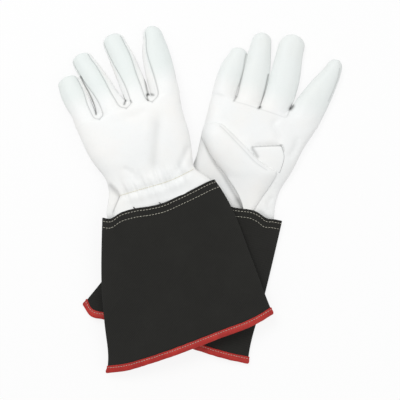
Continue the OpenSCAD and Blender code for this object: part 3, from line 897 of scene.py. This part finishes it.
def leather_pieces(glove):
    """The hand and fingers as separate pieces that share one smooth surface."""
    points, faces, pieces, marks = build_leather(glove).dense(2)
    normals = point_normals(points, faces)
    outside = np.unique(faces[pieces != LINING_PIECE])
    inside = np.setdiff1d(np.arange(len(points)), outside)
    normals[inside] *= -1
    moved, line = leather_relief(glove, points, normals, marks)
    points = points + moved
    points[outside, 2] = np.maximum(points[outside, 2], TABLE_GAP)
    points[inside, 2] = np.maximum(points[inside, 2], TABLE_GAP + HIDE)
    normals = point_normals(points, faces)
    grey = glove.greyness * ease(*GREY_SPAN, points[:, 1])
    if glove.side == "left":
        grey = np.maximum(grey - marks["strip"], 0)
    # line carries the painted shade.
    looks = {"line": line, "grey": grey}
    made = {}
    for k, finger in enumerate(FINGERS):
        name = glove.name(f"{finger}_finger_leather")
        made[finger] = make_piece(name, glove, points, faces[pieces == k], LEATHER, normals, **looks)
    name = glove.name("hand_leather")
    made["hand"] = make_piece(name, glove, points, faces[pieces >= HAND_PIECE], LEATHER, normals, **looks)
    up = normals[outside, 2]
    glove.skin_top = points[outside[up > 0.3]]
    glove.skin_low = points[outside[up < -0.3]]
    return made


def on_skin(glove, plan, over=True):
    """z of the finished leather at points in plan."""
    skin = glove.skin_top if over else glove.skin_low
    found = []
    for spot in np.asarray(plan, float):
        off = np.linalg.norm(skin[:, :2] - spot, axis=1)
        near = np.argsort(off)[:4]
        weight = 1 / (off[near] + 0.2)
        found.append((skin[near, 2] * weight).sum() / weight.sum())
    return np.array(found)


def along(glove, span):
    """Two places on the glove's middle line, at the heights given in span."""
    return [glove.spot(0, y) for y in span]


def seat_leather(glove, made):
    """Bakes the hand's leather and each finger's into place and hides the parts of the model that they stand
    for.
    """
    hand = made["hand"]
    glove.name("gauntlet")
    glove.name("hand")
    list(along(glove, WRIST_BLEND))
    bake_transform(hand)
    nodes = ("wrist_back", "wrist_palm", "hand_back", "hand_palm")
    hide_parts(*[glove.name(node) for node in nodes])
    for finger in FINGERS:
        obj = made[finger]
        glove.name("hand")
        glove.name(f"{finger}_finger")
        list(along(glove, KNUCKLE_BLEND))
        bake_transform(obj)
        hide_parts(*[glove.name(f"{finger}_{node}") for node in ("back", "front", "fourchettes")])


# Thumbs and the patches at their roots

THENAR_FREE = [(25, -9), (19, 2), (7, 15), (-5, 23.5)]
THENAR_ROOT = [(31, -9), (35.5, 16), (41.5, 37), (44, 51)]
BEND_FREE = [(-5, 23.5), (-9, 26.4), (-13, 29)]
BEND_UPPER = [(44, 51), (31, 52.2), (18, 55.5)]
THUMB_FREE = [(-13, 29), (-30.3, 40), (-44.5, 53)]
THUMB_UPPER = [(18, 55.5), (-3, 66), (-28.5, 77.5)]
THUMB_TIP = (-49.5, 72.5)
THUMB_COLUMNS = 9
THUMB_H = 8.6
THUMB_AXIS = np.array((-0.866, 0.5))
THUMB_HINGE = np.array((4.0, 46.0))
THUMB_BEND = (7, 20)


def slab(cage, plan, top, low, piece_of_row):
    """A closed pad over a grid of points in plan, with its upper and lower heights."""
    tops = [cage.row(np.column_stack([p, z])) for p, z in zip(plan, top)]
    lows = [cage.row(np.column_stack([p, z])) for p, z in zip(plan, low)]
    rings = [t + l[::-1] + t[:1] for t, l in zip(tops, lows)]
    for a, b, piece in zip(rings, rings[1:], piece_of_row):
        cage.skin(a, b, piece)
    for ring, piece in ((rings[0][::-1], piece_of_row[0]), (rings[-1], piece_of_row[-1])):
        n = len(plan[0])
        cage.skin(ring[:n], ring[n:2 * n][::-1], piece)
    return tops, lows


def thumb_rows():
    """Plan rows from the cuff to the thumb's tip, each with its two ends and a share: root 1, thumb 0."""
    parts = (
        (THENAR_FREE, THENAR_ROOT, 8, 1, 1),
        (BEND_FREE, BEND_UPPER, 4, 1, 0),
        (THUMB_FREE, THUMB_UPPER, 7, 0, 0),
    )
    rows = []
    for free, upper, count, start, end in parts:
        t = np.linspace(0, 1, count)
        shares = start + (end - start) * t
        found = list(zip(curve(free, t), curve(upper, t), shares))
        rows.extend(found if not rows else found[1:])
    free, upper, _ = rows[-1]
    middle, half = (free + upper) / 2, (upper - free) / 2
    for s in TIP_STEPS:
        centre = mixed(middle, THUMB_TIP, s)
        rows.append((centre - half * math.sqrt(1 - s * s), centre + half * math.sqrt(1 - s * s), 0.0))
    return rows


THENAR_ROWS = 11
THUMB_LEAST = 1.4


def build_thumb(glove, side_up):
    """The thumb laid flat on the palm, over it where the palm faces up and under it where it faces down."""
    q = np.linspace(0, 1, THUMB_COLUMNS)
    plan, top, low, pieces = [], [], [], []
    rows = thumb_rows()
    for i, (free, upper, root) in enumerate(rows):
        p = mixed(free, upper, q)
        palm = on_skin(glove, p, side_up > 0)
        grown = (0.25 + 0.75 * float(ease(0, 9, i))) * (1 - 0.25 * float(ease(14, len(rows) - 3, i)))
        last = max(0, i - (len(rows) - 1 - len(TIP_STEPS)))
        round_off = math.sqrt(1 - TIP_STEPS[last - 1] ** 2) if last else 1.0
        tall = THUMB_H * grown * (0.35 + 0.65 * round_off)
        open_form = dome(2 * q - 1)
        root_form = dome(q - 1) * (1 - q**5) + 0.02
        form = root_form * root + open_form * (1 - root)
        lifted = (1.8 + 2.4 * float(ease(1, 6, i))) * (1 - q) ** 1.5 * root
        under = 0.2 + lifted - 0.8 * root * q**4
        over = np.maximum(0.35 + tall * form + 0.5 * lifted, under + THUMB_LEAST * (1 - q**6 * root))
        plan.append(p)
        top.append(palm + side_up * over)
        low.append(palm + side_up * under)
        pieces.append(0 if i < THENAR_ROWS - 1 else 1)
    cage = Cage()
    if side_up < 0:
        plan = [p[::-1] for p in plan]
        top = [z[::-1] for z in top]
        low = [z[::-1] for z in low]
    tops, lows = slab(cage, plan, top, low, pieces)
    near, edge, free_edge = (-2, -1, 0) if side_up > 0 else (1, 0, -1)
    # The underside of the free edge is marked for a painted shadow line.
    cage.mark("strip", [row[free_edge] for row in lows])
    cage.mark("sewn", [row[edge] for row in tops[:8]])
    cage.mark("sewn", [row[near] for row in tops[8:-4]])
    return cage


def thumb_pieces(glove):
    """The thumb and its root as two pieces, which part at the thumb's joint."""
    side_up = 1 if glove.side == "right" else -1
    points, faces, pieces, marks = build_thumb(glove, side_up).dense(2)
    normals = point_normals(points, faces)
    groove = np.clip(marks["sewn"] * 4 - 3, 0, 1)
    height = 0.35 * rough(points, 22, 3.5) + 0.2 * rough(points, 9, 5.5) - 0.5 * groove
    points = points + normals * height[:, None]
    points[:, 2] = np.maximum(points[:, 2], TABLE_GAP)
    normals = point_normals(points, faces)
    # Painted shade in the seam grooves, and a painted shadow line along the flap's free edge.
    free_edge_shade = np.clip(marks["strip"] * 3 - 2, 0, 1)
    looks = {"line": 0.15 * groove + 0.3 * free_edge_shade, "grey": np.zeros(len(points))}
    made = []
    for k, part in enumerate(("thumb_root_leather", "thumb_leather")):
        name = glove.name(part)
        made.append(make_piece(name, glove, points, faces[pieces == k], LEATHER, normals, **looks))
    root, thumb = made
    glove.name("gauntlet")
    glove.name("hand")
    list(along(glove, WRIST_BLEND))
    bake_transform(root)
    start = THUMB_HINGE + THUMB_AXIS * THUMB_BEND[0]
    end = start + THUMB_AXIS * THUMB_BEND[1]
    glove.name("hand")
    glove.name("thumb")
    glove.spot(*start)
    glove.spot(*end)
    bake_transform(thumb)
    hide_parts(glove.name("thumb_outer"), glove.name("thumb_inner"))


PATCH_TOP = [(6, 66.6), (21, 73.3), (36, 79.2)]
PATCH_SIDE = [(36, 79.2), (43, 70.5), (45, 50)]
PATCH_FOOT = [(13, 55), (30, 51.5), (45, 50)]
PATCH_STEPS = (0.0, 0.05, 0.2, 0.4, 0.6, 0.8, 0.95, 1.0)


def patch_piece(glove):
    """The square patch sewn in at the thumb's root."""
    over = glove.side == "right"
    count = len(PATCH_STEPS)
    u = np.array(PATCH_STEPS)
    upper, foot, side = curve(PATCH_TOP, u), curve(PATCH_FOOT, u), curve(PATCH_SIDE, u)
    plan, top, low = [], [], []
    for i, v in enumerate(u):
        row = mixed(upper, foot, np.full(count, v))
        row = row + np.outer(u, side[i] - row[-1])
        palm = on_skin(glove, row, over)
        crown = (1 - (2 * u - 1) ** 6) * (1 - (2 * v - 1) ** 6)
        up = 1 if over else -1
        plan.append(row)
        top.append(palm + up * (0.45 + 0.9 * crown))
        low.append(palm - up * 0.6)
    if over:
        plan, top, low = plan[::-1], top[::-1], low[::-1]
    cage = Cage()
    tops, lows = slab(cage, plan, top, low, [0] * count)
    upper_row = -1 if over else 0
    for rows in (tops, lows):
        cage.mark("sewn", rows[upper_row] + [row[-1] for row in rows])
    points, faces, _, marks = cage.dense(2)
    points[:, 2] = np.maximum(points[:, 2], TABLE_GAP)
    # Painted shade along the patch's top and side seams, plus this glove's painted shadows.
    line = 0.6 * np.clip(marks["sewn"] * 2 - 1, 0, 1) + painted_shade(glove, points)
    looks = {"line": line, "grey": np.zeros(len(points))}
    normals = point_normals(points, faces)
    obj = make_piece(glove.name("thumb_patch_leather"), glove, points, faces, LEATHER, normals, **looks)
    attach(obj, glove.name("hand"))
    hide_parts(glove.name("thumb_gusset"))


# Cloth cuffs

CLOTH = 1.2
BAND = 11.4
CUFF_LEN = 163.0
CUFF_HALF = 64.5
CUFF_COLUMNS = 30
BAND_ROWS = (0.0, 1.1, 3.0, 6.2, 9.2, 10.7, 12.1, 15.0)
CUFF_ROWS = (0.06, 0.14, 0.24, 0.36, 0.48, 0.6, 0.72, 0.82, 0.9, 0.96, 1.0)
DROOP = 9.5
DROOP_REACH = 42
DROOP_SPAN = (15, 75)


def cuff_edge(glove, x):
    """Height of the cuff's top edge at x."""
    return side_y(glove.cuff_top, x)


def cuff_hem(glove, t):
    """Height of the cuff's hem at a share t across, from -1 to 1."""
    low, high = glove.hem[0][0], glove.hem[-1][0]
    return side_y(glove.hem, low + (high - low) * (t + 1) / 2)


def cuff_sides(glove, y):
    """The cuff's two side seams at y."""
    return side_x(glove.cuff_left, y), side_x(glove.cuff_right, y)


def cuff_relief(glove, x, y, over):
    """Folded band at the top edge, its puckers, the soft folds below it and the cloth's unevenness."""
    below = cuff_edge(glove, x) - y
    band = 0.5 * (1 - ease(BAND - 0.7, BAND + 0.7, below))
    pucker = 0.22 * np.sin(x * 0.85 + np.sin(x / 9)) * np.exp(-(((below - 6.8) / 4) ** 2))
    folds = np.sin(x / 8.5 + y / 60 + (2 if over else 0)) * np.exp(-np.maximum(below, 0) / 45)
    lumps = rough(np.stack([x, y], axis=1), 42, 11.5 if over else 17.5)
    return band + pucker + (0.55 * folds + 0.9 * lumps) * (1.0 if over else 0.35) - 0.4


def droop(glove, points):
    """How far the upper cuff sinks where the lower cuff no longer holds it up."""
    if glove.side == "right":
        return 0.0
    world = glove.place(points) / MM
    c, s = math.cos(right.turn), math.sin(right.turn)
    dx, dy = world[:, 0] - right.at[0], world[:, 1] - right.at[1]
    x, y = dx * c + dy * s, dy * c - dx * s
    low, high = cuff_sides(right, y)
    past = np.maximum.reduce([low - x, x - high, -CUFF_LEN - 2 - y, np.zeros(len(x))])
    free = ease(*DROOP_SPAN, -points[:, 1])
    return -DROOP * (1 - np.exp(-((past / DROOP_REACH) ** 2))) * free


def cuff_points(glove, t, y, over, out):
    """Points of the cuff at shares t across and heights y, out from the cloth's outer face."""
    low, high = cuff_sides(glove, y)
    edge = np.abs(t)
    x = (low + high) / 2 + t * ((high - low) / 2 + out * edge**8)
    share = np.clip(-y / CUFF_LEN, 0, 1)
    tall = glove.cuff_h + (glove.hem_h - glove.cuff_h) * share
    form = EDGE_SHARE + (1 - EDGE_SHARE) * (1 - edge**3.2) ** 0.7 if over else EDGE_SHARE * edge**5
    face = np.sqrt(1 - edge**4) * (1 if over else -1)
    z = glove.cuff_base + tall * form + (out + cuff_relief(glove, x, y, over)) * face
    points = np.stack([x, y, z], axis=1)
    points[:, 2] = np.maximum(points[:, 2] + droop(glove, points), TABLE_GAP)
    return points


def cuff_ring(glove, columns, y_of, out):
    """One looped ring of the cuff: over the top from the little side to the thumb side, and back below."""
    t = np.sin(np.linspace(-0.5, 0.5, columns + 1) * np.pi)
    x = t * CUFF_HALF
    upper = cuff_points(glove, t, y_of(x, t), True, out)
    lower = cuff_points(glove, t, y_of(x, t), False, out)[::-1]
    return np.concatenate([upper, lower[1:-1]])


def below_edge(glove, distance):
    """A row at a distance below the cuff's top edge."""
    return lambda x, t: cuff_edge(glove, x) - distance


def towards_hem(glove, share):
    """A row part of the way from the band to the hem."""
    def place(x, t):
        start = cuff_edge(glove, x) - BAND_ROWS[-1]
        return start + (cuff_hem(glove, t) - start) * share
    return place


def above_hem(glove, distance):
    """A row at a distance above the hem."""
    return lambda x, t: cuff_hem(glove, t) + distance


def closed_tube(rings):
    """A cage over looped rings, the last joined to the first."""
    cage = Cage()
    rows = []
    for ring in rings:
        row = cage.row(ring)
        rows.append(row + row[:1])
    for a, b in zip(rows, rows[1:] + rows[:1]):
        cage.skin(b, a)
    return cage


def cuff_piece(glove, sewn_on):
    """One cloth tube from its top edge to its hem, with its own inner face."""
    places = [below_edge(glove, d) for d in BAND_ROWS] + [towards_hem(glove, s) for s in CUFF_ROWS]
    outer = [cuff_ring(glove, CUFF_COLUMNS, place, 0) for place in places]
    inner = [cuff_ring(glove, CUFF_COLUMNS, place, -CLOTH) for place in places[::-1]]
    points, faces, *_ = closed_tube(outer + inner).dense(2)
    normals = point_normals(points, faces)
    obj = make_piece(glove.name("cuff_cloth"), glove, points, faces, DENIM[glove.side], normals)
    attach(obj, glove.name("gauntlet"))
    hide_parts(glove.name("cuff_back_panel"), glove.name("cuff_palm_panel"))


BINDING_FORM = (
    (7.0, -0.2), (7.2, 0.7), (6.4, 1.1), (5.4, 0.9), (4.7, 0.65), (4.0, 0.95), (2.4, 1.35), (0.7, 1.1),
    (-0.8, 0.3), (-1.1, -0.7), (-0.7, -1.7), (1.2, -2.2), (4.2, -2.15), (6.4, -2.0), (6.4, -0.9),
)
BINDING_STITCH = 5.0


def binding_piece(glove):
    """Tape folded over the hem, pinched along its stitches."""
    rings = [cuff_ring(glove, 2 * CUFF_COLUMNS, above_hem(glove, d), out) for d, out in BINDING_FORM]
    points, faces, *_ = closed_tube(rings).dense(1)
    normals = point_normals(points, faces)
    points = points + normals * (0.3 * rough(points, 5, 21.5))[:, None]
    points[:, 2] = np.maximum(points[:, 2], TABLE_GAP)
    normals = point_normals(points, faces)
    obj = make_piece(glove.name("cuff_binding_tape"), glove, points, faces, BINDING, normals)
    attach(obj, glove.name("gauntlet"))
    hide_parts(glove.name("cuff_binding"))
    return obj


# Threads

def thread_tube(path, radius, sides=6):
    """Points and faces of a round thread along a path, with closed ends."""
    path = np.asarray(path, float)
    ahead = np.gradient(path, axis=0)
    ahead = ahead / np.linalg.norm(ahead, axis=1)[:, None]
    side = np.cross(ahead, (0.0, 0.0, 1.0))
    side = side / np.maximum(np.linalg.norm(side, axis=1), 1e-6)[:, None]
    up = np.cross(side, ahead)
    angle = np.arange(sides) * 2 * np.pi / sides
    ring = np.cos(angle)[None, :, None] * side[:, None] + np.sin(angle)[None, :, None] * up[:, None]
    points = (path[:, None] + radius * ring).reshape(-1, 3)
    faces = []
    for i in range(len(path) - 1):
        for j in range(sides):
            k = (j + 1) % sides
            faces.append((i * sides + j, (i + 1) * sides + j, (i + 1) * sides + k, i * sides + k))
    last = (len(path) - 1) * sides
    faces += [(0, 1, 2, 3), (3, 4, 5, 0)]
    faces += [(last + 3, last + 2, last + 1, last), (last, last + 5, last + 4, last + 3)]
    return points, faces


def thread_piece(name, glove, paths, radius, material):
    """Threads along several paths, as one piece."""
    points, faces = [], []
    count = 0
    for path in paths:
        p, f = thread_tube(path, radius)
        points.append(p)
        faces.extend(tuple(i + count for i in face) for face in f)
        count += len(p)
    return make_piece(name, glove, np.concatenate(points), np.array(faces), material)


def stitches(path, pitch, length, up):
    """Short arched stitches along a path; up is 1 on an upper face and -1 on a lower one."""
    path = np.asarray(path, float)
    gone = np.concatenate([[0], np.cumsum(np.linalg.norm(np.diff(path, axis=0), axis=1))])
    made = []
    for start in np.arange(pitch / 2, gone[-1] - length, pitch):
        at = start + length * np.array([0, 0.22, 0.5, 0.78, 1.0])
        spots = np.stack([np.interp(at, gone, path[:, i]) for i in range(3)], axis=1)
        spots[:, 2] += up * np.array([-0.45, 0.08, 0.2, 0.08, -0.45])
        made.append(spots)
    return made


def seam_path(glove, y_of, over, out):
    """A line of points across one face of the cuff."""
    t = np.sin(np.linspace(-0.482, 0.482, 160) * np.pi)
    return cuff_points(glove, t, y_of(t * CUFF_HALF, t), over, out)


STITCH_ROWS = (3.2, 9.6)
EDGE_STITCH = (3.4, 2.3)
HEM_STITCH = (3.0, 2.0)
ELASTIC_STITCH = (2.5, 2.0)
CUFF_THREAD_R = 0.25
ELASTIC_THREAD_R = 0.26
LOOSE_THREAD_R = 0.55


def cuff_stitches(glove):
    """Two rows below the cuff's top edge and one along the binding, on both faces."""
    rows = []
    for over, up in ((True, 1), (False, -1)):
        for distance in STITCH_ROWS:
            rows += stitches(seam_path(glove, below_edge(glove, distance), over, 0.12), *EDGE_STITCH, up)
        rows += stitches(seam_path(glove, above_hem(glove, BINDING_STITCH), over, 0.85), *HEM_STITCH, up)
    for path in rows:
        path[:, 2] = np.maximum(path[:, 2], 0.4)
    obj = thread_piece(glove.name("cuff_stitches"), glove, rows, CUFF_THREAD_R, CREAM_THREAD)
    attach(obj, glove.name("gauntlet"))
    return obj


def elastic_stitches(glove):
    """The row that holds the wrist elastic, on the back of the glove."""
    over = glove.side == "left"
    plan = curve(ELASTIC, np.linspace(0.01, 0.99, 150))
    path = np.column_stack([plan, on_skin(glove, plan, over) + (0.3 if over else -0.3)])
    path[:, 2] = np.maximum(path[:, 2], 0.8)
    rows = stitches(path, *ELASTIC_STITCH, 1 if over else -1)
    obj = thread_piece(glove.name("elastic_stitches"), glove, rows, ELASTIC_THREAD_R, TAN_THREAD)
    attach(obj, glove.name("gauntlet"))
    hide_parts(glove.name("wrist_elastic"))


LOOSE_ENDS = ((-28.0, 2.4, 0.8), (1.0, 2.6, -0.6))


def loose_threads(glove):
    """Clipped thread ends that stand out at the cuff's top edge."""
    paths = []
    for x, long, lean in LOOSE_ENDS:
        t = np.array([x / CUFF_HALF])
        spot = cuff_points(glove, t, np.array([cuff_edge(glove, x)]), True, 0.1)[0]
        s = np.linspace(0, 1, 6)
        away = np.stack([lean * s + 0.5 * np.sin(5 * s), long * s - 0.8, 0.5 * np.sin(3 * s)], axis=1)
        paths.append(spot + away)
    obj = thread_piece(glove.name("loose_threads"), glove, paths, LOOSE_THREAD_R, BLACK_THREAD)
    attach(obj, glove.name("gauntlet"))


for glove in (left, right):
    seat_leather(glove, leather_pieces(glove))
    thumb_pieces(glove)
    patch_piece(glove)
    cuff_piece(glove, [binding_piece(glove), cuff_stitches(glove)])
    elastic_stitches(glove)
loose_threads(left)


# Table, light and camera

VIEW_CENTRE = (-1.3, -2.3)
VIEW_WIDTH = 440.0
VIEW_LEVEL = 15.0
LENS = 100.0
SENSOR = 36.0
TABLE_HALF = 6.0
WORLD_LEVEL = 0.57


def make_table():
    """The wide table top that the pair lies on."""
    mesh = bpy.data.meshes.new("table")
    size = TABLE_HALF
    corners = [(-size, -size, 0), (size, -size, 0), (size, size, 0), (-size, size, 0)]
    mesh.from_pydata(corners, [], [(0, 1, 2, 3)])
    mesh.materials.append(table_finish())
    obj = bpy.data.objects.new("table", mesh)
    bpy.context.scene.collection.objects.link(obj)


def make_light(name, spot, size, power):
    """A round soft lamp that points at the middle of the pair."""
    lamp = bpy.data.lights.new(name, "AREA")
    lamp.shape = "DISK"
    lamp.size = size
    lamp.energy = power
    obj = bpy.data.objects.new(name, lamp)
    obj.location = spot
    obj.rotation_euler = (-Vector(spot)).to_track_quat("-Z", "Y").to_euler()
    bpy.context.scene.collection.objects.link(obj)


def make_world():
    """Even white light from all round."""
    world = bpy.data.worlds.new("studio")
    world.use_nodes = True
    background = world.node_tree.nodes["Background"]
    background.inputs["Color"].default_value = (1, 1, 1, 1)
    background.inputs["Strength"].default_value = WORLD_LEVEL
    bpy.context.scene.world = world


def make_camera():
    """A long lens straight above the pair."""
    camera = bpy.data.cameras.new("camera")
    camera.lens = LENS
    camera.sensor_width = SENSOR
    obj = bpy.data.objects.new("camera", camera)
    away = VIEW_WIDTH * LENS / SENSOR
    obj.location = (VIEW_CENTRE[0] * MM, VIEW_CENTRE[1] * MM, (VIEW_LEVEL + away) * MM)
    bpy.context.scene.collection.objects.link(obj)
    bpy.context.scene.camera = obj


make_table()
make_world()
make_light("key", (-0.5, 0.8, 1.3), 0.9, 11.0)
make_light("fill", (0.9, -0.5, 1.2), 1.2, 4.0)
make_camera()
bpy.context.scene.view_settings.view_transform = "Standard"
